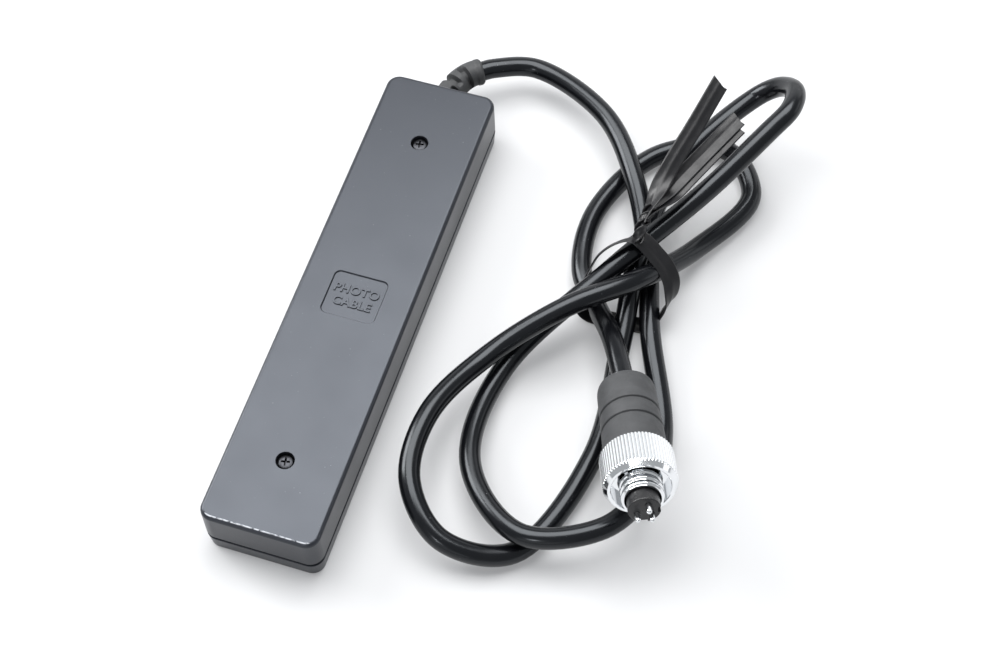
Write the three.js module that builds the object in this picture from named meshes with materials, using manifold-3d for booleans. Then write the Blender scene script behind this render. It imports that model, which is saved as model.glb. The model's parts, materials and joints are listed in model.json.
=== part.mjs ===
// Electrical cable shutter release: a slim handset with a release button, 0.6 m of
// cord held by a wire tie, and a three-pin camera plug with a chrome locking collar.
//
// Millimetres, +Z up. The handset lies face down: its front cover stands on z = 0,
// the origin is the middle of that face, +Y runs towards the cord and +X to the right.

import * as THREE from 'three';
import { mergeVertices } from 'three/addons/utils/BufferGeometryUtils.js';
import Module from 'manifold-3d';

const wasm = await Module();
wasm.setup();

// ---------------------------------------------------------------- driving sizes

const GAP = 0.3; // air kept between pieces that touch on the real object

// Handset
const WIDTH = 22.4;
const LENGTH = 102.1;
const HEIGHT = 12.4;
const CORNER = 2.6; // plan radius of the four corners
const EDGE = 0.8; // rounding of the long edges
const WALL = 1.6;
const PARTING = 4.1; // height of the line between the two covers
const REAR_DRAFT = 0.05; // how far the rear cover flares down to the parting line
const FRONT_DRAFT = 0.3; // how far the front cover narrows down to its face
const FRONT_FLOOR = 1.8;
const ROOF = HEIGHT - WALL; // inside of the rear cover

// Cover screws, on the centre line
const SCREW_Y = [36.2, -36.4];
const SCREW_HEAD_R = 1.4;
const SCREW_HEAD_H = 1.1;
const SCREW_SHANK_R = 1;
const SCREW_SINK = 0.7; // how far the head lies below the cover
const BOSS_R = 3.1;
const COUNTERBORE_R = SCREW_HEAD_R + GAP;
const FRONT_BOSS_R = 2.4;

// Name plate pocket in the rear cover
const PLATE_W = 10.6;
const PLATE_L = 9.5;
const PLATE_Y = -0.75;
const PLATE_DEPTH = 0.3;

// Finger well, lock slider and release button in the front cover
const WELL_W = 16;
const WELL_L = 38;
const WELL_Y = 13;
const WELL_DEPTH = 0.6;
const LOCK_TRAVEL = 3;
const LOCK_W = 12;
const LOCK_L = 24;
const LOCK_Y = 11.5; // middle of the slider at rest
const LOCK_FACE = 0.5; // height of its outer face above the table
const LOCK_FLANGE = 1.7; // how far the flange reaches behind the cover, each side
const LOCK_FLANGE_H = 1;
const BUTTON_W = 8;
const BUTTON_L = 14;
const BUTTON_Y = 13.3;
const BUTTON_FACE = 0.35;
const BUTTON_FLANGE = 1.2;
const BUTTON_TRAVEL = 1.6;
const BUTTON_FLANGE_Z = FRONT_FLOOR + GAP + LOCK_FLANGE_H + GAP;
const BUTTON_TOP = BUTTON_FLANGE_Z + 1;
const POST_Y = 9.5; // the post that lifts the contact leaf
const SPRING_Y = 17.5;
const SPRING_R = 1.9;
const SPRING_WIRE = 0.3;
const SPRING_TURNS = 5;

// Contact stack behind the button
const STACK_W = 9;
const STACK_BACK = -14;
const STACK_FRONT = -6;
const LEAF_T = 0.3;
const LEAF_W = 3;
const LEAF_TIP = 14.2;
const BASE_H = 3.5;
const STACK_SCREW_X = 2.9;
const STACK_SCREW_R = 0.8;

// Cable entry
const CABLE_Z = 7;
const NECK_R = 2.6;
const RELIEF_ROOT_R = 2.75;
const RELIEF_TIP_R = 2.55;
const RELIEF_RIBS = 4;
const RELIEF_SLOT = 0.7;
const RELIEF_SLOT_DEPTH = 0.5;
const STUB_START = 41.7; // where the cable's jacket ends inside the handset
const CLAMP_Y = 43.6;
const CLAMP_X = 5;
const CLAMP_PILLAR_R = 1.7;
const CLAMP_PILLAR_TOP = 5.3;
const WIRE_R = 0.5;

// Small screws of the clamp and of the contact stack
const SMALL_HEAD_R = 1.3;
const SMALL_HEAD_H = 0.8;
const CLAMP_SCREW_R = 0.7;

// Cord
const CORD_D = 4;
const CORD_SIDES = 8;
const CORD_STEPS = 80;

// Plug, measured along its own axis from the back of the boot
const PLUG_AT = new THREE.Vector3(53.25, -3.17, 9.4);
const PLUG_AIM = new THREE.Vector3(0.35, -0.881, 0.319).normalize();
const BOOT_BACK_R = 5.35;
const BOOT_FRONT_R = 5.75;
const BOOT_END = 19.6;
const BOOT_GROOVES = [7.5, 11.4];
const COLLAR_START = 17.6;
const COLLAR_KNURL_END = 24.6;
const COLLAR_END = 25.4;
const COLLAR_R = 6.65;
const COLLAR_TEETH = 48;
const COLLAR_TOOTH = 0.22;
const COLLAR_LIP_R = 5.9;
const COLLAR_RECESS_R = 5.3;
const COLLAR_WEB = [22.6, 23.4];
const BARREL_R = 3.8;
const BARREL_TAIL_R = 3.4;
const BARREL_START = 15.3;
const BARREL_FLANGE = [19.9, 20.7];
const BARREL_END = 28;
const BARREL_RINGS = [24.1, 25.5, 26.9];
const INSULATOR_R = 2.9;
const INSULATOR_START = 21.3;
const INSULATOR_END = 30.4;
const KEY = 1.2; // the two key ways in the insulator's rim
const KEY_L = 2.4;
const PIN_R = 0.5;
const PIN_CIRCLE = 1.45;
const PIN_ANGLES = [65, 205, 325];
const PIN_START = 23;
const PIN_END = 32.4;

// Wire tie
const TIE_W = 3.5;
const TIE_T = 0.5;
const TIE_STEPS = 56;
const TIE_Y = 15.4; // middle of the ribbon where it lies on the table
const TIE_X = 47.5;
const TIE_LEAN = 0.66; // shift along y for each mm of height
const TIE_SKEW = 0.05; // shift along y for each mm across

// ---------------------------------------------------------------- materials

const finish = (color, roughness, metalness = 0) =>
  new THREE.MeshStandardMaterial({ color, roughness, metalness });

const blackShell = () => finish(0x2a2c30, 0.45);
const blackPlastic = () => finish(0x17181a, 0.4);
const greyRubber = () => finish(0x3a3c3e, 0.8);
const cordVinyl = () => finish(0x0c0c0e, 0.18);
const tieVinyl = () => finish(0x18191a, 0.35);
const chrome = () => finish(0xe6e8ea, 0.12, 1);
const zincSteel = () => finish(0x8d9094, 0.35, 1);
const blackSteel = () => finish(0x303236, 0.35, 0.9);
const brass = () => finish(0xc7a252, 0.3, 1);
const phenolic = () => finish(0x6b4a2c, 0.6);

// ---------------------------------------------------------------- solids

const group = new THREE.Group();

function add(name, geometry, material, parent = group) {
  const mesh = new THREE.Mesh(geometry, material);
  mesh.name = name;
  parent.add(mesh);
}

// A three.js geometry as a manifold solid, with only its positions kept.
function solid(geometry) {
  const bare = geometry.index ? geometry.clone() : geometry;
  bare.deleteAttribute('normal');
  bare.deleteAttribute('uv');
  const merged = mergeVertices(bare, 1e-4);
  return new wasm.Manifold(new wasm.Mesh({
    numProp: 3,
    vertProperties: new Float32Array(merged.attributes.position.array),
    triVerts: new Uint32Array(merged.index.array),
  }));
}

function geometryOf(manifold) {
  const { vertProperties, triVerts } = manifold.getMesh();
  const geometry = new THREE.BufferGeometry();
  geometry.setAttribute('position', new THREE.BufferAttribute(vertProperties, 3));
  geometry.setIndex(new THREE.BufferAttribute(triVerts, 1));
  return geometry;
}

const join = (...parts) => geometryOf(parts.map(solid).reduce((a, b) => a.add(b)));

function cut(body, ...tools) {
  return geometryOf(tools.map(solid).reduce((rest, tool) => rest.subtract(tool), solid(body)));
}

// A box of width x length, from z0 up to z1, centred on (x, y).
function block(width, length, z0, z1, x = 0, y = 0) {
  return new THREE.BoxGeometry(width, length, z1 - z0).translate(x, y, (z0 + z1) / 2);
}

// An upright cylinder from z0 up to z1.
function post(radius, z0, z1, x, y, sides = 20) {
  return new THREE.CylinderGeometry(radius, radius, z1 - z0, sides)
    .rotateX(Math.PI / 2)
    .translate(x, y, (z0 + z1) / 2);
}

function roundedRectangle(width, length, radius) {
  const x = width / 2;
  const y = length / 2;
  const shape = new THREE.Shape();
  shape.absarc(x - radius, y - radius, radius, 0, Math.PI / 2);
  shape.absarc(-x + radius, y - radius, radius, Math.PI / 2, Math.PI);
  shape.absarc(-x + radius, -y + radius, radius, Math.PI, Math.PI * 1.5);
  shape.absarc(x - radius, -y + radius, radius, Math.PI * 1.5, Math.PI * 2);
  return shape;
}

// A slab with rounded corners from z0 up to z1.
function slab(width, length, radius, z0, z1, x = 0, y = 0) {
  return new THREE.ExtrudeGeometry(roundedRectangle(width, length, radius), {
    depth: z1 - z0,
    curveSegments: 4,
    bevelEnabled: false,
  }).translate(x, y, z0);
}

// The same slab with rounded edges along its top and bottom outlines.
function softSlab(width, length, radius, z0, z1, edge) {
  return new THREE.ExtrudeGeometry(roundedRectangle(width, length, radius), {
    depth: z1 - z0 - 2 * edge,
    curveSegments: 5,
    bevelThickness: edge,
    bevelSize: edge,
    bevelOffset: -edge,
    bevelSegments: 3,
  }).translate(0, 0, z0 + edge);
}

// Moves the outline outwards by offset(z) on every side.
function draft(geometry, offset) {
  const position = geometry.attributes.position;
  for (let i = 0; i < position.count; i += 1) {
    const grow = offset(position.getZ(i));
    position.setX(i, position.getX(i) * (1 + (2 * grow) / WIDTH));
    position.setY(i, position.getY(i) * (1 + (2 * grow) / LENGTH));
  }
  return geometry;
}

// A turned piece about the Z axis, from [radius, height] pairs.
function turned(profile, sides) {
  const points = profile.map(([radius, height]) => new THREE.Vector2(radius, height));
  return new THREE.LatheGeometry(points, sides).rotateX(Math.PI / 2);
}

function circleShape(radius, sides) {
  const points = [];
  for (let i = 0; i < sides; i += 1) {
    const angle = (i / sides) * Math.PI * 2;
    points.push(new THREE.Vector2(radius * Math.cos(angle), radius * Math.sin(angle)));
  }
  return new THREE.Shape(points);
}

function tube(curve, radius, sides, steps) {
  return new THREE.ExtrudeGeometry(circleShape(radius, sides), { steps, extrudePath: curve });
}

const vectors = (rows) => rows.map(([x, y, z]) => new THREE.Vector3(x, y, z));
const wirePath = (rows) => new THREE.CatmullRomCurve3(vectors(rows));

// ---------------------------------------------------------------- covers

const parting = (z) => THREE.MathUtils.clamp((HEIGHT - z) / (HEIGHT - PARTING), 0, 1);
const outerRear = draft(
  softSlab(WIDTH, LENGTH, CORNER, 0, HEIGHT, EDGE),
  (z) => REAR_DRAFT * parting(z),
);
const outerFront = draft(
  softSlab(WIDTH, LENGTH, CORNER, 0, 2 * PARTING, EDGE),
  (z) => REAR_DRAFT - FRONT_DRAFT * THREE.MathUtils.clamp(1 - z / PARTING, 0, 1),
);
const cavity = (z0, z1) => slab(WIDTH - 2 * WALL, LENGTH - 2 * WALL, CORNER - WALL + 1, z0, z1);
const above = (z) => block(2 * WIDTH, 2 * LENGTH, z, z + 40);
const below = (z) => block(2 * WIDTH, 2 * LENGTH, z - 40, z);

const headTop = HEIGHT - SCREW_SINK;
const headBottom = headTop - SCREW_HEAD_H;

let rear = cut(outerRear, below(PARTING + GAP / 2), cavity(-1, ROOF));
for (const y of SCREW_Y) {
  rear = join(rear, post(BOSS_R, PARTING + 0.6, ROOF + 0.2, 0, y));
  rear = cut(
    rear,
    post(COUNTERBORE_R, headBottom - GAP, HEIGHT + 1, 0, y, 24),
    post(SCREW_SHANK_R + GAP, 0, HEIGHT, 0, y, 16),
  );
}
const neckHole = new THREE.CylinderGeometry(NECK_R + GAP, NECK_R + GAP, 8, 20)
  .translate(0, LENGTH / 2, CABLE_Z);
const neckSlot = block(2 * (NECK_R + GAP), 8, 0, CABLE_Z, 0, LENGTH / 2);
rear = cut(
  rear,
  slab(PLATE_W, PLATE_L, 1.2, HEIGHT - PLATE_DEPTH, HEIGHT + 1, 0, PLATE_Y),
  neckHole,
  neckSlot,
);
add('rear_cover', rear, blackShell());

const lockWindow = slab(
  LOCK_W + 2 * GAP,
  LOCK_L + LOCK_TRAVEL + 2 * GAP,
  1.5,
  -1,
  FRONT_FLOOR + 1,
  0,
  LOCK_Y + LOCK_TRAVEL / 2,
);
let front = cut(outerFront, above(PARTING - GAP / 2), cavity(FRONT_FLOOR, 20));
for (const y of SCREW_Y) {
  front = join(front, post(FRONT_BOSS_R, FRONT_FLOOR - 0.2, PARTING, 0, y));
}
for (const x of [-CLAMP_X, CLAMP_X]) {
  front = join(front, post(CLAMP_PILLAR_R, FRONT_FLOOR - 0.2, CLAMP_PILLAR_TOP, x, CLAMP_Y, 16));
}
front = cut(
  front,
  slab(WELL_W, WELL_L, 4, -1, WELL_DEPTH, 0, WELL_Y),
  lockWindow,
  ...SCREW_Y.map((y) => post(SCREW_SHANK_R + GAP, FRONT_FLOOR, 20, 0, y, 16)),
  ...[-CLAMP_X, CLAMP_X].map(
    (x) => post(CLAMP_SCREW_R + GAP, FRONT_FLOOR, 20, x, CLAMP_Y, 12),
  ),
);
add('front_cover', front, blackShell());

// ---------------------------------------------------------------- cover screws

// A pan-head screw pointing down, with a cross recess in its head.
function panScrew(headR, headH, shankR, top, bottom, x, y) {
  const head = turned([
    [0, top - headH],
    [headR, top - headH],
    [headR, top - 0.35 * headH],
    [headR * 0.7, top],
    [0, top],
  ], 20);
  const shank = new THREE.CylinderGeometry(shankR, shankR, top - headH - bottom + 0.2, 14)
    .rotateX(Math.PI / 2)
    .translate(0, 0, (top - headH + 0.2 + bottom) / 2);
  const slot = headR * 0.26;
  const across = headR * 1.15;
  const depth = headH * 0.6;
  return cut(
    join(head, shank),
    block(across, slot, top - depth, top + 1),
    block(slot, across, top - depth, top + 1),
  ).translate(x, y, 0);
}

SCREW_Y.forEach((y, i) => {
  const name = ['cover_screw_cord_end', 'cover_screw_tail_end'][i];
  const bottom = FRONT_FLOOR + GAP;
  add(name, panScrew(SCREW_HEAD_R, SCREW_HEAD_H, SCREW_SHANK_R, headTop, bottom, 0, y), blackSteel());
});

// ---------------------------------------------------------------- lock slider and button

const lockFlangeZ = FRONT_FLOOR + GAP;
const buttonHole = slab(
  BUTTON_W + 2 * GAP,
  BUTTON_L + 2 * GAP,
  1.6,
  -1,
  10,
  0,
  BUTTON_Y,
);
let lock = join(
  slab(LOCK_W, LOCK_L, 1.3, LOCK_FACE, lockFlangeZ + 0.1, 0, LOCK_Y),
  slab(
    LOCK_W + 2 * LOCK_FLANGE,
    LOCK_L + 2 * LOCK_FLANGE,
    2,
    lockFlangeZ,
    lockFlangeZ + LOCK_FLANGE_H,
    0,
    LOCK_Y,
  ),
);
const grips = [1, 2.4, 3.8].map((y) => block(LOCK_W - 3, 0.6, -1, LOCK_FACE + 0.35, 0, y));
lock = cut(lock, buttonHole, ...grips);
add('lock_slider', lock, blackPlastic());

const button = join(
  slab(BUTTON_W, BUTTON_L, 1.3, BUTTON_FACE, BUTTON_FLANGE_Z + 0.1, 0, BUTTON_Y),
  slab(
    BUTTON_W + 2 * BUTTON_FLANGE,
    BUTTON_L + 2 * BUTTON_FLANGE,
    1.5,
    BUTTON_FLANGE_Z,
    BUTTON_TOP,
    0,
    BUTTON_Y,
  ),
  post(1.2, BUTTON_TOP - 0.1, BUTTON_TOP + 1.2, 0, POST_Y, 16),
  post(1.1, BUTTON_TOP - 0.1, BUTTON_TOP + 1.2, 0, SPRING_Y, 16),
);
const thumbDish = new THREE.SphereGeometry(30, 24, 12)
  .scale(0.8, 1.6, 1)
  .translate(0, BUTTON_Y, BUTTON_FACE + 0.45 - 30);
add('release_button', cut(button, thumbDish), blackPlastic());

class Helix extends THREE.Curve {
  constructor(radius, z0, z1, turns) {
    super();
    Object.assign(this, { radius, z0, z1, turns });
  }

  getPoint(t, target = new THREE.Vector3()) {
    const angle = t * this.turns * Math.PI * 2;
    return target.set(
      this.radius * Math.cos(angle),
      this.radius * Math.sin(angle),
      THREE.MathUtils.lerp(this.z0, this.z1, t),
    );
  }
}

const springCurve = new Helix(
  SPRING_R,
  BUTTON_TOP + GAP + SPRING_WIRE,
  ROOF - GAP - SPRING_WIRE,
  SPRING_TURNS,
);
add(
  'return_spring',
  tube(springCurve, SPRING_WIRE, 6, SPRING_TURNS * 10).translate(0, SPRING_Y, 0),
  zincSteel(),
);

// ---------------------------------------------------------------- contact stack

const baseTop = FRONT_FLOOR + GAP + BASE_H;
const commonZ = baseTop + GAP;
const lowerSpacer = [commonZ + LEAF_T + GAP, commonZ + LEAF_T + GAP + 0.6];
const halfZ = lowerSpacer[1] + GAP;
const upperSpacer = [halfZ + LEAF_T + GAP, halfZ + LEAF_T + GAP + 0.8];
const fullZ = upperSpacer[1] + GAP;
const stackTop = fullZ + LEAF_T;
const stackMid = (STACK_BACK + STACK_FRONT) / 2;
const stackL = STACK_FRONT - STACK_BACK;

const stackHoles = (z0, z1) => [-STACK_SCREW_X, STACK_SCREW_X].map(
  (x) => post(STACK_SCREW_R + GAP, z0 - 1, z1 + 1, x, stackMid, 12),
);
const stackPlate = (z0, z1) => cut(
  block(STACK_W, stackL, z0, z1, 0, stackMid),
  ...stackHoles(z0, z1),
);

// A tag is the clamped root of a leaf, with a solder tail that points backwards.
function contactTag(z, tailX) {
  return cut(
    join(
      block(STACK_W, stackL, z, z + LEAF_T, 0, stackMid),
      block(1.8, 3.2, z, z + LEAF_T, tailX, STACK_BACK - 1.5),
    ),
    ...stackHoles(z, z + LEAF_T),
  );
}

function contactBlade(z, back, tip) {
  const middle = (back + tip) / 2;
  return join(
    block(LEAF_W, tip - back, z, z + LEAF_T, 0, middle),
    block(STACK_W - 2, 1.4, z, z + LEAF_T, 0, back + 0.7),
  );
}

const bladeBack = STACK_FRONT + GAP;
add('contact_base', stackPlate(FRONT_FLOOR + GAP, baseTop), phenolic());
add('common_tag', contactTag(commonZ, 3), brass());
add('common_blade', contactBlade(commonZ, bladeBack, LEAF_TIP), brass());
add('stack_spacer_lower', stackPlate(...lowerSpacer), phenolic());
add('half_press_tag', contactTag(halfZ, 0), brass());
add('half_press_blade', contactBlade(halfZ, bladeBack, LEAF_TIP), brass());
add('stack_spacer_upper', stackPlate(...upperSpacer), phenolic());
add(
  'full_press_leaf',
  join(contactTag(fullZ, -3), block(LEAF_W, LEAF_TIP - STACK_FRONT + 1, fullZ, stackTop, 0,
    (LEAF_TIP + STACK_FRONT - 1) / 2)),
  brass(),
);
[-STACK_SCREW_X, STACK_SCREW_X].forEach((x, i) => {
  const name = ['stack_screw_left', 'stack_screw_right'][i];
  const top = stackTop + GAP + 0.8;
  const bottom = FRONT_FLOOR + 2 * GAP;
  const screw = panScrew(SMALL_HEAD_R, SMALL_HEAD_H, STACK_SCREW_R, top, bottom, x, stackMid);
  add(name, screw, zincSteel());
});

// ---------------------------------------------------------------- cable entry

// Lays a piece turned about Z along a level curve, its heights becoming lengths.
function layAlong(geometry, curve, length) {
  const position = geometry.attributes.position;
  const side = new THREE.Vector3();
  const up = new THREE.Vector3(0, 0, 1);
  for (let i = 0; i < position.count; i += 1) {
    const t = THREE.MathUtils.clamp(position.getZ(i) / length, 0, 1);
    const at = curve.getPointAt(t);
    const along = curve.getTangentAt(t);
    side.crossVectors(up, along).normalize();
    at.addScaledVector(side, position.getX(i));
    at.addScaledVector(up, position.getY(i));
    position.setXYZ(i, at.x, at.y, at.z);
  }
  return geometry;
}

const reliefStart = LENGTH / 2 - WALL - 1.6; // inner end of the flange
const reliefCurve = new THREE.CatmullRomCurve3(vectors([
  [0, reliefStart, CABLE_Z],
  [0, LENGTH / 2, CABLE_Z],
  [0.3, 54, CABLE_Z],
  [1.3, 57, CABLE_Z],
  [2.8, 59.2, CABLE_Z],
  [4.7, 60.6, CABLE_Z],
]));
const reliefLength = reliefCurve.getLength();
const reliefOut = LENGTH / 2 + GAP - reliefStart; // where it leaves the end face
const reliefRadius = (s) => THREE.MathUtils.mapLinear(
  s,
  reliefOut,
  reliefLength,
  RELIEF_ROOT_R,
  RELIEF_TIP_R,
);
const reliefProfile = [
  [0, 0],
  [NECK_R + 1, 0],
  [NECK_R + 1, 1.2],
  [NECK_R, 1.2],
  [NECK_R, reliefOut],
];
const ribPitch = (reliefLength - reliefOut) / RELIEF_RIBS;
for (let i = 0; i < RELIEF_RIBS; i += 1) {
  const start = reliefOut + i * ribPitch;
  const end = start + ribPitch;
  const slot = end - RELIEF_SLOT;
  reliefProfile.push([reliefRadius(start), start], [reliefRadius(slot), slot]);
  if (i < RELIEF_RIBS - 1) {
    const floor = reliefRadius(end) - RELIEF_SLOT_DEPTH;
    reliefProfile.push([floor, slot], [floor, end]);
  }
}
reliefProfile.push([reliefRadius(reliefLength), reliefLength], [0, reliefLength]);
add('strain_relief', layAlong(turned(reliefProfile, 16), reliefCurve, reliefLength), greyRubber());

const stubEnd = reliefStart - GAP;
add(
  'cable_stub',
  new THREE.CylinderGeometry(CORD_D / 2, CORD_D / 2, stubEnd - STUB_START, 12)
    .translate(0, (stubEnd + STUB_START) / 2, CABLE_Z),
  cordVinyl(),
);

const clampBottom = CLAMP_PILLAR_TOP + GAP;
const clampTop = CABLE_Z + CORD_D / 2 + GAP + 1;
const stubTunnel = new THREE.CylinderGeometry(CORD_D / 2 + GAP, CORD_D / 2 + GAP, 9, 16)
  .translate(0, CLAMP_Y, CABLE_Z);
add(
  'cable_clamp',
  cut(
    block(2 * CLAMP_X + 4, 3.4, clampBottom, clampTop, 0, CLAMP_Y),
    stubTunnel,
    block(CORD_D + 2 * GAP, 9, 0, CABLE_Z, 0, CLAMP_Y),
    ...[-CLAMP_X, CLAMP_X].map((x) => post(CLAMP_SCREW_R + GAP, 0, 20, x, CLAMP_Y, 12)),
    ...[-CLAMP_X, CLAMP_X].map(
      (x) => post(SMALL_HEAD_R + GAP, clampTop - 1.2, 20, x, CLAMP_Y, 16),
    ),
  ),
  zincSteel(),
);
[-CLAMP_X, CLAMP_X].forEach((x, i) => {
  const name = ['clamp_screw_left', 'clamp_screw_right'][i];
  const screw = panScrew(
    SMALL_HEAD_R,
    SMALL_HEAD_H,
    CLAMP_SCREW_R,
    clampTop - 0.1,
    FRONT_FLOOR + GAP,
    x,
    CLAMP_Y,
  );
  add(name, screw, zincSteel());
});

// Three insulated wires run from the cable to the solder tails of the stack.
const wires = [
  ['wire_common', 0x1c1c1e, [1.2, 7.6], 7.4, 3, commonZ],
  ['wire_half_press', 0xa03028, [0, 6.1], -5.9, 0, halfZ],
  ['wire_full_press', 0xd8d4c8, [-1.2, 7.6], -7.4, -3, fullZ],
];
for (const [name, color, [startX, startZ], lane, tailX, z] of wires) {
  const lift = z + LEAF_T + GAP + WIRE_R;
  const route = wirePath([
    [startX, STUB_START - 2 * GAP, startZ],
    [startX + 0.5 * lane, 39.8, startZ],
    [lane, 36.4, (startZ + 8) / 2],
    [lane, 20, 7.4],
    [lane, 0, 7.4],
    [lane, -12, lift],
    [lane * 0.7 + tailX * 0.3, -18, lift],
    [tailX, -17.6, lift],
    [tailX, -15.4, lift],
  ]);
  add(name, tube(route, WIRE_R, 6, 24), finish(color, 0.4));
}

// ---------------------------------------------------------------- cord

const cordRoute = vectors([
  [5, 60.85, 7],
  [6.8, 62, 7],
  [15, 65.2, 6.1],
  [31.5, 57.5, 6.8],
  [41.5, 44.5, 6.2],
  [48, 31, 3.3],
  [53.5, 13.5, 3.1],
  [61.3, -6, 2.8],
  [62.3, -18, 5.8],
  [57, -30, 7.6],
  [43, -35.2, 7],
  [30, -23.5, 4.8],
  [29.5, -2, 3.2],
  [44, 21.8, 9.6],
  [57, 40.5, 15],
  [65, 53.5, 19.6],
  [67.8, 58.8, 21],
  [67.4, 64.4, 19.4],
  [63.9, 67.4, 15.7],
  [59.5, 66, 12],
  [49.3, 48, 9.4],
  [47.2, 27, 6.8],
  [48.8, 10, 2.5],
  [50.5, -14.5, 2.2],
  [42.5, -37, 2.3],
  [30, -40, 6],
  [21.6, -32, 8.8],
  [20.5, -18.5, 9.4],
  [27, -2.5, 7.9],
  [38.5, 9.5, 11.8],
  [49, 19.5, 10.6],
  [57, 34, 3.6],
  [64, 50, 2.2],
  [56.5, 59.5, 2.2],
  [44, 54.5, 2.2],
  [35.8, 38, 2.2],
  [37, 23.5, 2.6],
  [42, 16.2, 3.4],
  [47.5, 8, 6.8],
  [53.14, -2.9, 9.3],
]);
const smoothCord = new THREE.CatmullRomCurve3(cordRoute, false, 'centripetal');
const cordPoints = smoothCord.getSpacedPoints(2 * CORD_STEPS);
for (const point of cordPoints) {
  point.z = Math.max(point.z, CORD_D / 2 + 0.05);
}
const cordCurve = new THREE.CatmullRomCurve3(cordPoints, false, 'centripetal');
add('cord', tube(cordCurve, CORD_D / 2, CORD_SIDES, CORD_STEPS), cordVinyl());

// ---------------------------------------------------------------- wire tie

// The band is a ribbon around the strands. Its outline is seen along the cord's main
// run, in x and z, and each point is then moved along y, because its top leans back.
const tieOutline = [
  [47, 15.6],
  [51.3, 15.2],
  [54.8, 12.4],
  [56.8, 8.2],
  [56.6, 4],
  [55.1, 1.3],
  [51, 0.45],
  [45, 0.45],
  [39.8, 0.6],
  [37, 2.6],
  [36.5, 5.8],
  [37.6, 9.2],
  [40.2, 12.6],
  [43.4, 14.9],
];
const tieLoop = new THREE.CatmullRomCurve3(
  tieOutline.map(([x, z]) => new THREE.Vector3(x, z, 0)),
  true,
  'centripetal',
);

function tieEdge(offset) {
  const points = [];
  for (let i = 0; i < TIE_STEPS; i += 1) {
    const at = tieLoop.getPointAt(i / TIE_STEPS);
    const along = tieLoop.getTangentAt(i / TIE_STEPS);
    points.push(new THREE.Vector2(at.x + offset * along.y, at.y - offset * along.x));
  }
  return points;
}

const ribbon = (offset, width) => new THREE.ExtrudeGeometry(new THREE.Shape(tieEdge(offset)), {
  depth: width,
  bevelEnabled: false,
}).rotateX(Math.PI / 2).translate(0, width / 2, 0);
const band = cut(ribbon(-TIE_T / 2, TIE_W), ribbon(TIE_T / 2, TIE_W + 1));
const bandPosition = band.attributes.position;
for (let i = 0; i < bandPosition.count; i += 1) {
  const lean = TIE_LEAN * bandPosition.getZ(i);
  const skew = TIE_SKEW * (bandPosition.getX(i) - TIE_X);
  bandPosition.setY(i, bandPosition.getY(i) + TIE_Y + lean + skew);
}
add('tie_band', band, tieVinyl());

// A flat strip from one place to another, turned about its length by a roll angle.
function strip(from, to, width, thickness, roll) {
  const length = from.distanceTo(to);
  const matrix = new THREE.Matrix4().lookAt(to, from, new THREE.Vector3(0, 0, 1));
  return new THREE.BoxGeometry(width, thickness, length)
    .rotateZ(roll)
    .applyMatrix4(matrix)
    .translate((from.x + to.x) / 2, (from.y + to.y) / 2, (from.z + to.z) / 2);
}

const knot = new THREE.Vector3(47.2, 26.4, 17.9);
add('tie_knot', new THREE.SphereGeometry(1.5, 12, 8).translate(...knot), tieVinyl());
const tails = [
  ['tie_tail_single', [48, 30.6, 19.4], [54.1, 56, 27.5], TIE_W, TIE_T, 0.3],
  ['tie_tail_double', [50.2, 31.6, 17.4], [59.2, 55, 19], 4.6, 0.9, 0],
];
for (const [name, from, to, width, thickness, roll] of tails) {
  const piece = strip(...vectors([from, to]), width, thickness, roll);
  add(name, piece, tieVinyl());
}

// ---------------------------------------------------------------- plug

// Its own z runs along the aim, x is level and y points up.
const plug = new THREE.Group();
const plugSide = new THREE.Vector3(0, 0, 1).cross(PLUG_AIM).normalize();
const plugUp = new THREE.Vector3().crossVectors(PLUG_AIM, plugSide);
plug.position.copy(PLUG_AT);
plug.quaternion.setFromRotationMatrix(
  new THREE.Matrix4().makeBasis(plugSide, plugUp, PLUG_AIM),
);
group.add(plug);

const bootRadius = (s) => THREE.MathUtils.mapLinear(s, 0, COLLAR_START, BOOT_BACK_R, BOOT_FRONT_R);
const bootProfile = [[0, 0], [BOOT_BACK_R - 1, 0], [BOOT_BACK_R - 0.3, 0.3], [bootRadius(1), 1]];
for (const s of BOOT_GROOVES) {
  const floor = bootRadius(s) - 0.4;
  bootProfile.push([bootRadius(s - 0.3), s - 0.3], [floor, s - 0.3]);
  bootProfile.push([floor, s + 0.3], [bootRadius(s + 0.3), s + 0.3]);
}
bootProfile.push(
  [BOOT_FRONT_R, COLLAR_START],
  [BOOT_FRONT_R, BOOT_END],
  [BARREL_TAIL_R + GAP, BOOT_END],
  [BARREL_TAIL_R + GAP, BARREL_START - GAP],
  [0, BARREL_START - GAP],
);
add('plug_boot', turned(bootProfile, 28), greyRubber(), plug);

const barrelProfile = [
  [0, BARREL_START],
  [BARREL_TAIL_R, BARREL_START],
  [BARREL_TAIL_R, BARREL_FLANGE[0]],
  [5, BARREL_FLANGE[0]],
  [5, BARREL_FLANGE[1]],
  [BARREL_R - 0.3, BARREL_FLANGE[1]],
];
for (const s of BARREL_RINGS) {
  barrelProfile.push([BARREL_R - 0.3, s], [BARREL_R, s + 0.3]);
  barrelProfile.push([BARREL_R, s + 0.6], [BARREL_R - 0.3, s + 0.9]);
}
barrelProfile.push(
  [BARREL_R - 0.1, BARREL_END],
  [INSULATOR_R + GAP, BARREL_END],
  [INSULATOR_R + GAP, INSULATOR_START - GAP],
  [0, INSULATOR_START - GAP],
);
add('plug_barrel', turned(barrelProfile, 24), chrome(), plug);

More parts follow.
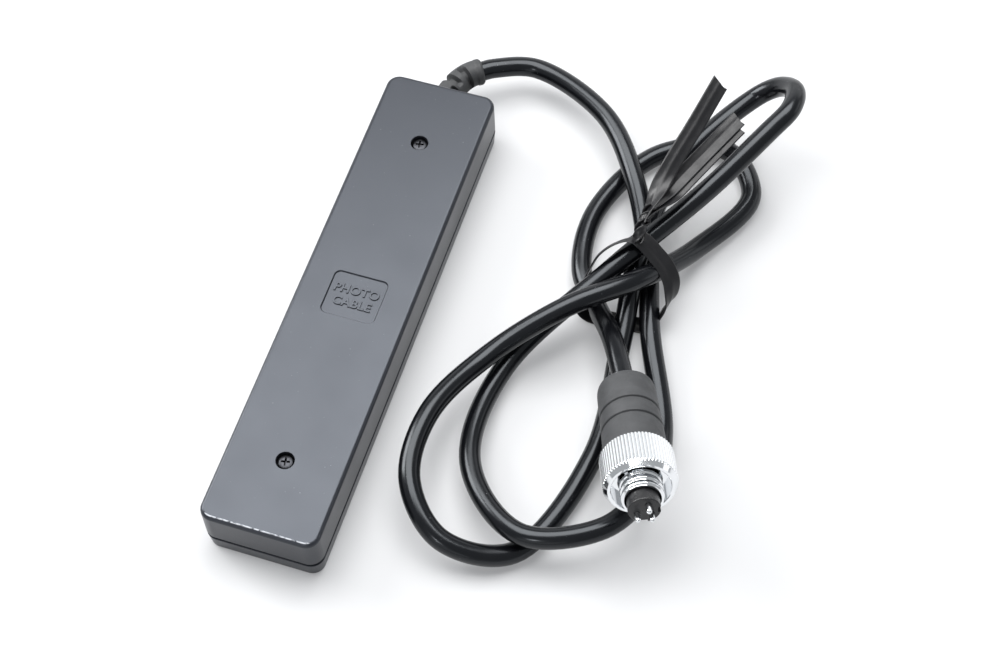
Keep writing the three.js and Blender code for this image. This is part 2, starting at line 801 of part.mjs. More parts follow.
const knurlPoints = [];
for (let i = 0; i < 2 * COLLAR_TEETH; i += 1) {
  const angle = (i / (2 * COLLAR_TEETH)) * Math.PI * 2;
  const radius = COLLAR_R - (i % 2) * COLLAR_TOOTH;
  knurlPoints.push(new THREE.Vector2(radius * Math.cos(angle), radius * Math.sin(angle)));
}
const knurl = new THREE.ExtrudeGeometry(new THREE.Shape(knurlPoints), {
  depth: COLLAR_KNURL_END - COLLAR_START,
  bevelEnabled: false,
}).translate(0, 0, COLLAR_START);
const lip = turned([
  [0, COLLAR_KNURL_END - 0.1],
  [COLLAR_R - COLLAR_TOOTH, COLLAR_KNURL_END - 0.1],
  [COLLAR_R - COLLAR_TOOTH, COLLAR_KNURL_END + 0.1],
  [COLLAR_LIP_R, COLLAR_END],
  [0, COLLAR_END],
], 32);
const collar = cut(
  join(knurl, lip),
  post(BOOT_FRONT_R + GAP, COLLAR_START - 1, COLLAR_WEB[0], 0, 0, 32),
  post(BARREL_R + 0.4, COLLAR_START, COLLAR_END + 1, 0, 0, 28),
  post(COLLAR_RECESS_R, COLLAR_WEB[1], COLLAR_END + 1, 0, 0, 32),
);
add('plug_collar', collar, chrome(), plug);

const pinSpots = PIN_ANGLES.map((degrees) => {
  const angle = THREE.MathUtils.degToRad(degrees);
  return [PIN_CIRCLE * Math.cos(angle), PIN_CIRCLE * Math.sin(angle)];
});
const keyFloor = INSULATOR_END - KEY_L;
const insulator = cut(
  new THREE.CylinderGeometry(INSULATOR_R, INSULATOR_R, INSULATOR_END - INSULATOR_START, 24)
    .rotateX(Math.PI / 2)
    .translate(0, 0, (INSULATOR_START + INSULATOR_END) / 2),
  ...pinSpots.map(([x, y]) => post(PIN_R + GAP, PIN_START - GAP, INSULATOR_END + 1, x, y, 10)),
  block(KEY, KEY, keyFloor, INSULATOR_END + 1, 0, -INSULATOR_R),
  block(KEY, KEY, keyFloor, INSULATOR_END + 1, INSULATOR_R, 0),
);
add('plug_insulator', insulator, blackPlastic(), plug);

const pinNames = ['plug_pin_common', 'plug_pin_half_press', 'plug_pin_full_press'];
pinSpots.forEach(([x, y], i) => {
  const pin = turned([
    [0, PIN_START],
    [PIN_R, PIN_START],
    [PIN_R, PIN_END - 0.4],
    [PIN_R * 0.5, PIN_END],
    [0, PIN_END],
  ], 10).translate(x, y, 0);
  add(pinNames[i], pin, chrome(), plug);
});

export default group;
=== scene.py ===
"""Looks of the cable shutter release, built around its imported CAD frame.

Shapes are written in millimetres in the CAD frame (+Z up, +Y towards the cord, the
handset's front cover on z = 0) and turned into metres when a piece is placed.
"""

import json
import math

import bmesh
import bpy
from mathutils import Matrix, Vector

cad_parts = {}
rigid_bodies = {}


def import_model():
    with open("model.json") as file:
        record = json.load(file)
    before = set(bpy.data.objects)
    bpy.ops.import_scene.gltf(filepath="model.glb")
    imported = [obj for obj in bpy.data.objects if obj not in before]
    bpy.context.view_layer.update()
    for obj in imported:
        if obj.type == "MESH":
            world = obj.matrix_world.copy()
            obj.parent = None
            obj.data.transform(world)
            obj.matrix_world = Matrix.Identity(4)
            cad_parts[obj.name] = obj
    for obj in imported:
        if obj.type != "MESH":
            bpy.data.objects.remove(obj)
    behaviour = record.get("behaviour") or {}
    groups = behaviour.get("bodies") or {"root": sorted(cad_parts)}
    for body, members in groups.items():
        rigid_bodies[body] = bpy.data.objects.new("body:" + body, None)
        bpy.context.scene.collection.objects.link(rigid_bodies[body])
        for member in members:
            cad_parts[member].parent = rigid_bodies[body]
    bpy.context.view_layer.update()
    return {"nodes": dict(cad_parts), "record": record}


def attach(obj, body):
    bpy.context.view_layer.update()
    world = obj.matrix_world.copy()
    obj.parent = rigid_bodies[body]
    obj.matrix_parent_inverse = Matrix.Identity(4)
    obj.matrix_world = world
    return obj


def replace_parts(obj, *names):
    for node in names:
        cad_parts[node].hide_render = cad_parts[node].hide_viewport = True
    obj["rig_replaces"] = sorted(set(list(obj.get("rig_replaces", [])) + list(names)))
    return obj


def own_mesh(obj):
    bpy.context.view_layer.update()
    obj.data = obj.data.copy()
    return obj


MM = 0.001
GAP = 0.3
SHARPEST = 0.05

# Camera, in millimetres and degrees
LENS = 68.4
TARGET = Vector((25.8, 6.7, 0))
DISTANCE = 363.3
AZIMUTH = 19.9
ELEVATION = 59.4
ROLL = -2.3

# Studio, in metres. Each light is its name, place, aim, width, height and radiance.
LIGHTS = [
    ("overhead", (-0.06, 0.17, 0.62), (0.03, 0, 0), 0.66, 0.5, 7.6),
    ("sweep", (-0.1, 0.95, 0.3), (0.02, 0, 0), 1.7, 0.5, 0.9),
    ("left", (-0.62, 0.12, 0.4), (0.03, 0, 0), 0.4, 0.4, 11),
    ("right", (0.7, 0.35, 0.2), (0, 0, 0), 0.5, 0.25, 0.9),
    ("front", (0, -0.9, 0.25), (0, 0, 0), 0.8, 0.3, 0.7),
    ("lamp", (-0.05, -0.75, 0.55), (0.03, 0, 0), 0.1, 0.07, 35),
]
SKY_COLOR = (0.94, 0.97, 1.0, 1)
SKY_STRENGTH = 0.46
FLOOR_HALF = 3
FLOOR_DROP = 0.00005
FLOOR_COLOR = (0.4, 0.402, 0.407)
FLOOR_GLOW_COLOR = (0.97, 0.98, 1, 1)
FLOOR_GLOW = 0.2

# Handset
WIDTH = 22.4
LENGTH = 102.1
HEIGHT = 12.4
CORNER = 2.6
WALL = 1.6
PARTING = 4.1
REAR_DRAFT = 0.05
FRONT_DRAFT = 0.3
REAR_EDGE = 0.85
FRONT_EDGE = 0.5
FRONT_FLOOR = 1.8
ROOF = HEIGHT - WALL
INNER_CORNER = CORNER - WALL + 1
GROOVE_INSET = 0.6
GROOVE_WIDTH = 0.35
NECK_REACH = 4
REAR_BOSS_R = 3.1
FRONT_BOSS_R = 2.4
SCREW_Y = (36.2, -36.4)
HEAD_R = 1.5
HEAD_H = 1.35
HEAD_TOP = HEIGHT - 0.45
HEAD_MOUTH_R = HEAD_R + 0.2
SHANK_R = 1
THREAD_DEPTH = 0.22
THREAD_PITCH = 0.5
CROSS_FOOT = (0.5, 0.1)
CROSS_MOUTH = (0.86, 0.2)
CROSS_DEPTH = 0.75
CROSS_TURN = 0.2
PLATE_W = 10.6
PLATE_L = 9.5
PLATE_Y = -0.75
PLATE_CORNER = 1.2
PLATE_FLOOR = HEIGHT - 0.3
# The plate's generic words, with each line's distance from the plate's middle
WORDS = (("PHOTO", 0.5), ("CABLE", -2.3))
LETTER_SIZE = 2.5
LETTER_WEIGHT = 0.03
LETTER_HALF_HEIGHT = 0.12
LETTER_BEVEL = 0.04
CABLE_Z = 7
CLAMP_X = 5
CLAMP_Y = 43.6
CLAMP_BOSS_R = 1.7
CLAMP_BOSS_TOP = 5.3
CLAMP_HOLE_R = 1
WELL_W = 16
WELL_L = 38
WELL_CORNER = 4
WELL_Y = 13

# Lock slider and button
LOCK_Y = 11.5
LOCK_W = 12
LOCK_L = 24
LOCK_TRAVEL = 3
LOCK_FACE = 0.5
LOCK_FLANGE_Z = FRONT_FLOOR + GAP
LOCK_FLANGE_T = 1
LOCK_FLANGE_OUT = 1.7
LOCK_CORNER = 1.3
GRIP_Y = (1, 2.4, 3.8)
GRIP_W = 0.6
BUTTON_Y = 13.3
BUTTON_W = 8
BUTTON_L = 14
BUTTON_FACE = 0.35
BUTTON_CORNER = 1.3
BUTTON_FLANGE_Z = LOCK_FLANGE_Z + LOCK_FLANGE_T + GAP
BUTTON_FLANGE_OUT = 1.2
BUTTON_TOP = BUTTON_FLANGE_Z + 1
DISH_R = 30
DISH_DEPTH = 0.45
PLUNGER_Y = 9.5
PLUNGER_R = 1.2
SPRING_PEG_R = 1.1
PEG_TOP = BUTTON_TOP + 1.2
SPRING_Y = 17.5
SPRING_R = 1.9
SPRING_WIRE = 0.3
SPRING_TURNS = 5

# Cord
CORD_D = 4
CORD_LOWEST = CORD_D / 2 + 0.05
CORD_ROUTE = [
    (4.3, 60.3, 7),
    (6.8, 62, 7),
    (15, 65.2, 6.1),
    (31.5, 57.5, 6.8),
    (41.5, 44.5, 6.2),
    (48, 31, 3.3),
    (53.5, 13.5, 3.1),
    (61.3, -6, 2.8),
    (62.3, -18, 5.8),
    (57, -30, 7.6),
    (43, -35.2, 7),
    (30, -23.5, 4.8),
    (29.5, -2, 3.2),
    (44, 21.8, 9.6),
    (57, 40.5, 15),
    (65, 53.5, 19.6),
    (67.8, 58.8, 21),
    (67.4, 64.4, 19.4),
    (63.9, 67.4, 15.7),
    (59.5, 66, 12),
    (49.3, 48, 9.4),
    (47.2, 27, 6.8),
    (48.8, 10, 2.5),
    (50.5, -14.5, 2.2),
    (42.5, -37, 2.3),
    (30, -40, 6),
    (21.6, -32, 8.8),
    (20.5, -18.5, 9.4),
    (27, -2.5, 7.9),
    (38.5, 9.5, 11.8),
    (49, 19.5, 10.6),
    (57, 34, 3.6),
    (64, 50, 2.2),
    (56.5, 59.5, 2.2),
    (44, 54.5, 2.2),
    (35.8, 38, 2.2),
    (37, 23.5, 2.6),
    (42, 16.2, 3.4),
    (47.5, 8, 6.8),
    (53.14, -2.9, 9.3),
]

# Strain relief: its centreline, and slots as (distance from the end face, angle round it)
RELIEF_ROUTE = [
    (0, 47.85, 7),
    (0, 51.05, 7),
    (0.3, 54, 7),
    (1.3, 57, 7),
    (2.8, 59.2, 7),
    (4.7, 60.6, 7),
]
RELIEF_FLANGE = 1.2
RELIEF_FLANGE_OUT = 1
RELIEF_NECK_R = 2.6
RELIEF_ROOT_R = 2.75
RELIEF_TIP_R = 2.55
RELIEF_OUT = 3.5
RELIEF_COLLAR = 0.12
RELIEF_COLLAR_L = 1.5
RELIEF_TIP_ROUND = 0.35
RELIEF_RINGS = 181
RELIEF_SIDES = 64
RELIEF_SHADE = 0.55
SLOT_WIDTH = 1.3
SLOT_DEPTH = 1.15
SLOT_SPAN = 78
SLOT_END = 14
SLOT_REACH = 1.25
SLOTS = [(1.6, 0), (3.8, 125), (6.7, 45)]

# Plug, measured along its own axis from the back of the boot
PLUG_AT = Vector((53.25, -3.17, 9.4))
PLUG_AIM = Vector((0.35, -0.881, 0.319)).normalized()
BOOT_BACK_R = 5.35
BOOT_FRONT_R = 5.75
BOOT_END = 19.6
BOOT_GROOVES = (7.5, 11.4)
BOOT_GROOVE_DEPTH = 0.45
BOOT_MOUTH_R = CORD_D / 2 + 0.5
COLLAR_START = 17.6
COLLAR_KNURL_END = 24.6
COLLAR_END = 25.4
COLLAR_R = 6.65
COLLAR_TEETH = 64
COLLAR_TOOTH = 0.24
COLLAR_LIP_R = 5.9
COLLAR_RECESS_R = 5.3
COLLAR_WEB = (22.6, 23.4)
COLLAR_BACK_R = 6
COLLAR_EDGE = 0.35
BARREL_R = 3.8
BARREL_TAIL_R = 3.4
BARREL_START = 15.3
BARREL_FLANGE = (19.9, 20.7)
BARREL_FLANGE_R = 5
BARREL_END = 28
BARREL_RINGS = (24.1, 25.5, 26.9)
RING_DEPTH = 0.35
NOSE_KEY = (23.5, 25.1)
NOSE_KEY_SIZE = (0.6, 1.5)
NOSE_KEY_R = 4.15
NOSE_KEY_ANGLE = 34
INSULATOR_R = 2.9
INSULATOR_START = 21.3
INSULATOR_END = 30.4
KEY = 1.2
KEY_L = 2.4
PIN_R = 0.5
PIN_CIRCLE = 1.45
PIN_ANGLES = (65, 205, 325)
PIN_START = 23
PIN_END = 32.4

# Wire tie
TIE_W = 3.5
TIE_Y = 15.4
TIE_X = 47.5
TIE_LEAN = 0.66
TIE_SKEW = 0.05
# The band's own line as (x, z), with the direction across the strip
TIE_LOOP = [
    ((47.6, 15.2), (0.45, 0.85, 0.3)),
    ((51, 13.2), (0.75, 0.6, 0.25)),
    ((53.4, 11.4), (0.75, 0.6, 0.25)),
    ((55.1, 9), (0.55, 0.75, 0.25)),
    ((55.5, 6.2), (0.3, 0.9, 0.25)),
    ((54.6, 3.6), (0.1, 1, 0.1)),
    ((53.2, 0.9), (0, 1, 0)),
    ((50, 0.5), (0, 1, 0)),
    ((45, 0.5), (0, 1, 0)),
    ((41, 0.55), (0, 1, 0)),
    ((38.9, 1.8), (0, 1, 0)),
    ((38.4, 4.2), (0, 1, 0)),
    ((38.9, 6.8), (0, 1, -0.35)),
    ((39.6, 8.8), (0.05, 0.9, -0.55)),
    ((40.6, 11.1), (0.05, 0.85, -0.6)),
    ((42.7, 13.2), (0.13, 0.75, -0.65)),
    ((45.2, 14.6), (0.15, 0.72, -0.62)),
]
# The centrelines of the two ends, from the knot outwards, and of the knot itself
TIE_SINGLE = [
    (47.4, 27.6, 17.2),
    (47.9, 31.5, 18.6),
    (49.3, 38.7, 20.8),
    (51.9, 48, 24),
    (54.1, 56, 27.2),
]
TIE_DOUBLE = [
    (47.8, 28.2, 16.8),
    (49.6, 33.2, 17.6),
    (51.9, 38.4, 18.2),
    (55.3, 46.2, 18.6),
    (59.1, 54.7, 19),
]
KNOT_ROUTE = [(47.4, 24.9, 14.9), (47.2, 26.4, 16.5), (47.6, 28.6, 17.3), (48.1, 31.2, 18.2)]
KNOT_TURNS = 1.1
KNOT_STRAND_W = 1.9
TAIL_STEPS = 97
KNOT_STEPS = 73


# ---------------------------------------------------------------- materials


class Surface:
    """A Principled material, with its detail added one call at a time."""

    def __init__(self, name, color, roughness, metallic=0.0, specular=0.5, tint=(1, 1, 1)):
        self.material = bpy.data.materials.new(name)
        self.material.use_nodes = True
        self.tree = self.material.node_tree
        self.shader = self.tree.nodes["Principled BSDF"]
        self.color = (*color, 1.0)
        self.roughness = roughness
        self.shader.inputs["Base Color"].default_value = self.color
        self.shader.inputs["Roughness"].default_value = roughness
        self.shader.inputs["Metallic"].default_value = metallic
        self.shader.inputs["Specular IOR Level"].default_value = specular
        self.shader.inputs["Specular Tint"].default_value = (*tint, 1.0)
        self.coordinates = self.tree.nodes.new("ShaderNodeTexCoord")

    def noise(self, size, detail=2.0):
        """Noise with lumps about size millimetres across."""
        node = self.tree.nodes.new("ShaderNodeTexNoise")
        node.inputs["Scale"].default_value = 1 / (size * MM)
        node.inputs["Detail"].default_value = detail
        self.tree.links.new(self.coordinates.outputs["Object"], node.inputs["Vector"])
        return node.outputs[0]

    def axis(self, name, index):
        """One number of the object's coordinates or normal."""
        node = self.tree.nodes.new("ShaderNodeSeparateXYZ")
        self.tree.links.new(self.coordinates.outputs[name], node.inputs[0])
        return node.outputs[index]

    def remap(self, value, low, high):
        """0 where value is low and 1 where it is high, held at both ends."""
        node = self.tree.nodes.new("ShaderNodeMapRange")
        node.inputs["From Min"].default_value = low
        node.inputs["From Max"].default_value = high
        node.inputs["To Min"].default_value = 0
        node.inputs["To Max"].default_value = 1
        self.tree.links.new(value, node.inputs["Value"])
        return node.outputs[0]

    def times(self, first, second):
        node = self.tree.nodes.new("ShaderNodeMath")
        node.operation = "MULTIPLY"
        self.tree.links.new(first, node.inputs[0])
        self.tree.links.new(second, node.inputs[1])
        return node.outputs[0]

    def tint(self, factor, color):
        """Mixes another colour in where factor is 1."""
        node = self.tree.nodes.new("ShaderNodeMix")
        node.data_type = "RGBA"
        node.inputs[6].default_value = self.color
        base = self.shader.inputs["Base Color"]
        if base.is_linked:
            self.tree.links.new(base.links[0].from_socket, node.inputs[6])
        node.inputs[7].default_value = (*color, 1.0)
        self.tree.links.new(factor, node.inputs[0])
        self.tree.links.new(node.outputs[2], base)

    def vary_roughness(self, factor, roughness):
        """Moves the roughness to another value where factor is 1."""
        node = self.tree.nodes.new("ShaderNodeMix")
        node.inputs[2].default_value = self.roughness
        socket = self.shader.inputs["Roughness"]
        if socket.is_linked:
            self.tree.links.new(socket.links[0].from_socket, node.inputs[2])
        node.inputs[3].default_value = roughness
        self.tree.links.new(factor, node.inputs[0])
        self.tree.links.new(node.outputs[0], socket)

    def bump(self, height, depth, strength=1.0):
        """Raises the surface by depth millimetres where height is 1."""
        node = self.tree.nodes.new("ShaderNodeBump")
        node.inputs["Strength"].default_value = strength
        node.inputs["Distance"].default_value = depth * MM
        socket = self.shader.inputs["Normal"]
        if socket.is_linked:
            self.tree.links.new(socket.links[0].from_socket, node.inputs["Normal"])
        self.tree.links.new(height, node.inputs["Height"])
        self.tree.links.new(node.outputs["Normal"], socket)

    def dust(self, size, amount):
        """Sparse pale specks; amount is from 0, none, to 1, everywhere."""
        few = self.remap(self.noise(size, 0), 0.86 - 0.2 * amount, 0.9 - 0.2 * amount)
        specks = self.times(few, self.remap(self.noise(12 * size, 1), 0.45, 0.6))
        self.tint(specks, (0.16, 0.16, 0.17))
        self.vary_roughness(specks, 0.9)


def shell_plastic():
    """Black ABS with a fine moulded grain, and a paler near top edge that is partly rubbed wear and partly a
    painted highlight.
    """
    surface = Surface("shell_plastic", (0.012, 0.013, 0.0165), 0.3, tint=(0.84, 0.9, 1.0))
    surface.bump(surface.noise(0.14, 3), 0.02, 0.35)
    surface.vary_roughness(surface.remap(surface.noise(9, 4), 0.35, 0.7), 0.36)
    slope = surface.axis("Normal", 2)
    edge = surface.times(surface.remap(slope, 0.9, 0.94), surface.remap(slope, 0.998, 0.99))
    near = surface.remap(surface.axis("Object", 1), -0.05, -0.0502)
    # The near top fillet is tinted paler in noisy patches: partly rubbed wear, partly a painted highlight
    # along that edge.
    near_fillet = surface.times(edge, near)
    wear_and_highlight = surface.times(near_fillet, surface.remap(surface.noise(0.8, 5), 0.37, 0.52))
    surface.tint(wear_and_highlight, (0.34, 0.35, 0.37))
    surface.vary_roughness(wear_and_highlight, 0.25)
    surface.dust(0.3, 0.06)
    return surface.material


def button_plastic():
    """Smoother black ABS, polished by the thumb."""
    surface = Surface("button_plastic", (0.014, 0.0145, 0.016), 0.3)
    surface.bump(surface.noise(0.2, 3), 0.012, 0.3)
    surface.vary_roughness(surface.remap(surface.noise(4, 3), 0.4, 0.65), 0.4)
    surface.dust(0.35, 0.08)
    return surface.material


def insulator_plastic():
    """Dark moulded core of the plug."""
    surface = Surface("insulator_plastic", (0.008, 0.008, 0.009), 0.25)
    surface.bump(surface.noise(0.12, 2), 0.01, 0.3)
    surface.vary_roughness(surface.remap(surface.noise(1.5, 3), 0.4, 0.7), 0.5)
    return surface.material


def grey_rubber(name, shade):
    """Matt moulded rubber, greyed by age, with a slightly dusty grain."""
    surface = Surface(name, (0.042 * shade, 0.044 * shade, 0.047 * shade), 0.6)
    aged = (0.058 * shade, 0.06 * shade, 0.064 * shade)
    surface.tint(surface.remap(surface.noise(2.6, 5), 0.42, 0.72), aged)
    surface.bump(surface.noise(0.16, 4), 0.03, 0.4)
    surface.vary_roughness(surface.remap(surface.noise(1.2, 3), 0.4, 0.7), 0.72)
    surface.dust(0.3, 0.08)
    return surface.material


def cord_vinyl():
    """Glossy black PVC that still shows a little waviness from its mould."""
    surface = Surface("cord_vinyl", (0.0025, 0.0027, 0.0035), 0.2, specular=0.36, tint=(0.9, 0.95, 1.0))
    surface.bump(surface.noise(5, 2), 0.05, 0.5)
    surface.vary_roughness(surface.remap(surface.noise(3, 4), 0.45, 0.75), 0.26)
    surface.dust(0.3, 0.05)
    return surface.material


def tie_vinyl():
    """Black PVC strip with a slight grain along its kinks."""
    surface = Surface("tie_vinyl", (0.006, 0.006, 0.007), 0.32, specular=0.4)
    surface.bump(surface.noise(0.5, 3), 0.03, 0.4)
    surface.vary_roughness(surface.remap(surface.noise(1.5, 3), 0.4, 0.7), 0.42)
    return surface.material


def chrome():
    """Polished plating with faint handling marks."""
    surface = Surface("chrome", (0.8, 0.815, 0.83), 0.09, metallic=1.0)
    surface.vary_roughness(surface.remap(surface.noise(1.4, 5), 0.5, 0.75), 0.16)
    surface.bump(surface.noise(0.4, 3), 0.004, 0.3)
    return surface.material


def steel(name, color, roughness):
    """Turned steel with fine scratches."""
    surface = Surface(name, color, roughness, metallic=1.0)
    surface.bump(surface.noise(0.1, 3), 0.008, 0.35)
    surface.vary_roughness(surface.remap(surface.noise(0.8, 4), 0.4, 0.7), roughness + 0.12)
    return surface.material


def brass():
    """Spring brass, a little tarnished."""
    surface = Surface("brass", (0.72, 0.5, 0.2), 0.28, metallic=1.0)
    surface.tint(surface.remap(surface.noise(1.8, 4), 0.5, 0.75), (0.48, 0.3, 0.13))
    surface.bump(surface.noise(0.15, 3), 0.006, 0.3)
    return surface.material


def phenolic():
    """Brown fibre board with its woven grain."""
    surface = Surface("phenolic", (0.22, 0.11, 0.05), 0.55)
    surface.tint(surface.remap(surface.noise(0.5, 5), 0.4, 0.7), (0.34, 0.18, 0.08))
    surface.bump(surface.noise(0.25, 4), 0.02, 0.4)
    return surface.material


def wire_jacket(name, color):
    """Thin coloured PVC round a conductor."""
    surface = Surface(name, color, 0.3)
    surface.bump(surface.noise(0.6, 2), 0.02, 0.3)
    surface.vary_roughness(surface.remap(surface.noise(2, 3), 0.45, 0.7), 0.42)
    return surface.material


def make_materials():
    """One material for each of the record's slots."""
    return {
        "shell": shell_plastic(),
        "button_plastic": button_plastic(),
        "insulator_plastic": insulator_plastic(),
        "grey_rubber": grey_rubber("grey_rubber", 0.68),
        "cord_vinyl": cord_vinyl(),
        "tie_vinyl": tie_vinyl(),
        "chrome": chrome(),
        "zinc_steel": steel("zinc_steel", (0.48, 0.5, 0.52), 0.3),
        "black_steel": steel("black_steel", (0.035, 0.036, 0.04), 0.3),
        "brass": brass(),
        "phenolic": phenolic(),
        "wire_black": wire_jacket("wire_black", (0.02, 0.02, 0.02)),
        "wire_red": wire_jacket("wire_red", (0.45, 0.05, 0.04)),
        "wire_white": wire_jacket("wire_white", (0.7, 0.68, 0.6)),
    }


# ---------------------------------------------------------------- shapes


def smooth_path(points, steps):
    """A centripetal Catmull-Rom curve through points, with steps points to each span."""
    points = [Vector(p) for p in points]
    padded = [2 * points[0] - points[1], *points, 2 * points[-1] - points[-2]]
    path = []
    for i in range(len(points) - 1):
        path.extend(catmull_rom(padded[i : i + 4], k / steps) for k in range(steps))
    path.append(points[-1])
    return path


def smooth_loop(points, steps):
    """The same curve, closed."""
    points = [Vector(p) for p in points]
    count = len(points)
    path = []
    for i in range(count):
        span = [points[(i + k - 1) % count] for k in range(4)]
        path.extend(catmull_rom(span, k / steps) for k in range(steps))
    return path


def catmull_rom(span, t):
    a, b, c, d = span
    ab = math.sqrt((b - a).length)
    bc = math.sqrt((c - b).length)
    cd = math.sqrt((d - c).length)
    start = ((b - a) / ab - (c - a) / (ab + bc) + (c - b) / bc) * bc
    end = ((c - b) / bc - (d - b) / (bc + cd) + (d - c) / cd) * bc
    square = 3 * (c - b) - 2 * start - end
    cube = 2 * (b - c) + start + end
    return b + start * t + square * t * t + cube * t * t * t


def evenly(path, count):
    """Count points at even distances along a path."""
    lengths = [0.0]
    for a, b in zip(path, path[1:]):
        lengths.append(lengths[-1] + (b - a).length)
    spaced = []
    span = 0
    for i in range(count):
        wanted = lengths[-1] * i / (count - 1)
        while span < len(path) - 2 and lengths[span + 1] < wanted:
            span += 1
        share = (wanted - lengths[span]) / (lengths[span + 1] - lengths[span])
        spaced.append(path[span].lerp(path[span + 1], min(share, 1)))
    return spaced


def tangents(path, closed=False):
    count = len(path)
    found = []
    for i in range(count):
        after = path[(i + 1) % count] if closed else path[min(i + 1, count - 1)]
        before = path[i - 1] if closed else path[max(i - 1, 0)]
        found.append((after - before).normalized())
    return found


def rounded_outline(width, length, radius, steps=10):
    points = []
    for quarter, (sx, sy) in enumerate(((1, 1), (-1, 1), (-1, -1), (1, -1))):
        for i in range(steps + 1):
            angle = math.pi / 2 * (quarter + i / steps)
            x = sx * (width / 2 - radius) + radius * math.cos(angle)
            y = sy * (length / 2 - radius) + radius * math.sin(angle)
            points.append((x, y))
    return points


def soft_profile(points, radius, steps=5):
    """The same outline with each inner corner rounded off."""
    made = [points[0]]
    for before, corner, after in zip(points, points[1:], points[2:]):
        a = Vector(before) - Vector(corner)
        b = Vector(after) - Vector(corner)
        reach = min(radius, a.length / 2, b.length / 2)
        start = Vector(corner) + a.normalized() * reach
        end = Vector(corner) + b.normalized() * reach
        for i in range(steps + 1):
            t = i / steps
            point = start * (1 - t) ** 2 + Vector(corner) * 2 * t * (1 - t) + end * t * t
            made.append(tuple(point))
    made.append(points[-1])
    return made


def quarter_round(z, inset, radius, up, steps=6):
    """(z, offset) pairs for an edge that curves in from a wall to a face at height z."""
    pairs = []
    for i in range(steps + 1):
        angle = math.pi / 2 * i / steps
        height = radius * (1 - math.sin(angle))
        pairs.append((z - up * height, inset - radius * (1 - math.cos(angle))))
    return pairs


def new_object(vertices, faces):
    mesh = bpy.data.meshes.new("solid")
    mesh.from_pydata([tuple(v) for v in vertices], [], faces)
    shape = bmesh.new()
    shape.from_mesh(mesh)
    bmesh.ops.remove_doubles(shape, verts=shape.verts, dist=1e-4)
    bmesh.ops.recalc_face_normals(shape, faces=shape.faces)
    shape.to_mesh(mesh)
    shape.free()
    solid = bpy.data.objects.new("solid", mesh)
    bpy.context.scene.collection.objects.link(solid)
    return solid


def loft(rings, closed=False):
    """A solid through rings of equally many points. A closed one joins its last ring to its first."""
    count = len(rings[0])
    levels = len(rings)
    faces = []
    for level in range(levels if closed else levels - 1):
        low = level * count
        high = ((level + 1) % levels) * count
        for i in range(count):
            j = (i + 1) % count
            faces.append((low + i, low + j, high + j, high + i))
    if not closed:
        faces.append(tuple(reversed(range(count))))
        faces.append(tuple(range(len(rings) * count - count, len(rings) * count)))
    return new_object([point for ring in rings for point in ring], faces)


def slab(width, length, radius, profile, x=0, y=0):
    """A rounded rectangle swept up through (z, offset) pairs."""
    rings = []
    for z, offset in profile:
        corner = max(radius + offset, SHARPEST)
        outline = rounded_outline(width + 2 * offset, length + 2 * offset, corner)
        rings.append([(px + x, py + y, z) for px, py in outline])
    return loft(rings)


def turned(profile, sides, closed=False, radius_at=None):
    """A piece turned about the Z axis, from (radius, height) pairs."""
    rings = []
    for radius, height in profile:
        ring = []
        for i in range(sides):
            angle = 2 * math.pi * i / sides
            r = radius_at(radius, height, angle) if radius_at else radius
            ring.append((r * math.cos(angle), r * math.sin(angle), height))
        rings.append(ring)
    return loft(rings, closed)


def post(radius, z0, z1, x=0, y=0, sides=32):
    solid = turned([(radius, z0), (radius, z1)], sides)
    return moved(solid, Matrix.Translation((x, y, 0)))


def flat_ring(half_width, half_length, z, x=0, y=0):
    """The four corners of a rectangle at height z."""
    corners = [(-1, -1), (1, -1), (1, 1), (-1, 1)]
    return [(x + sx * half_width, y + sy * half_length, z) for sx, sy in corners]


def block(width, length, z0, z1, x=0, y=0):
    return loft([flat_ring(width / 2, length / 2, z, x, y) for z in (z0, z1)])


def moved(solid, matrix):
    solid.data.transform(matrix)
    return solid


def boolean(body, operation, *tools):
    """Joins the tools to a solid, or cuts them from it."""
    for tool in tools:
        modifier = body.modifiers.new("boolean", "BOOLEAN")
        modifier.operation = operation
        modifier.solver = "EXACT"
        modifier.object = tool
        bpy.context.view_layer.update()
        result = body.evaluated_get(bpy.context.evaluated_depsgraph_get())
        mesh = bpy.data.meshes.new_from_object(result)
        body.modifiers.clear()
        body.data = mesh
        bpy.data.objects.remove(tool)
    return body


def cut(body, *tools):
    return boolean(body, "DIFFERENCE", *tools)


def join(body, *tools):
    return boolean(body, "UNION", *tools)


def sweep(path, across, section, closed=False):
    """A section of (across, out) pairs carried along a path."""
    rings = []
    for at, along, side in zip(path, tangents(path, closed), across):
        out = along.cross(side).normalized()
        rings.append([at + side * u + out * v for u, v in section])
    return loft(rings, closed)


def place(solid, name, slot, body, *nodes, angle=32):
    """Turns a solid into metres and makes it a piece that stands for its CAD nodes."""
    solid.name = name
    solid.data.name = name
    solid.data.transform(Matrix.Scale(MM, 4))
    solid.data.shade_smooth()
    solid.data.set_sharp_from_angle(angle=math.radians(angle))
    weighted = solid.modifiers.new("weighted", "WEIGHTED_NORMAL")
    weighted.keep_sharp = True
    solid.data.materials.clear()
    solid.data.materials.append(materials[slot])
    if nodes:
        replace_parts(solid, *nodes)
    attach(solid, body)
    return solid


# ---------------------------------------------------------------- camera, light, floor


def make_camera():
    azimuth, elevation, roll = (math.radians(a) for a in (AZIMUTH, ELEVATION, ROLL))
    level = Vector((math.cos(azimuth), math.sin(azimuth), 0))
    back = Vector((
        math.sin(azimuth) * math.cos(elevation),
        -math.cos(azimuth) * math.cos(elevation),
        math.sin(elevation),
    ))
    up = back.cross(level)
    right = level * math.cos(roll) + up * math.sin(roll)
    top = up * math.cos(roll) - level * math.sin(roll)
    data = bpy.data.cameras.new("camera")
    data.lens = LENS
    camera = bpy.data.objects.new("camera", data)
    bpy.context.scene.collection.objects.link(camera)
    turn = Matrix((right, top, back)).transposed().to_4x4()
    camera.matrix_world = Matrix.Translation((TARGET + back * DISTANCE) * MM) @ turn
    bpy.context.scene.camera = camera


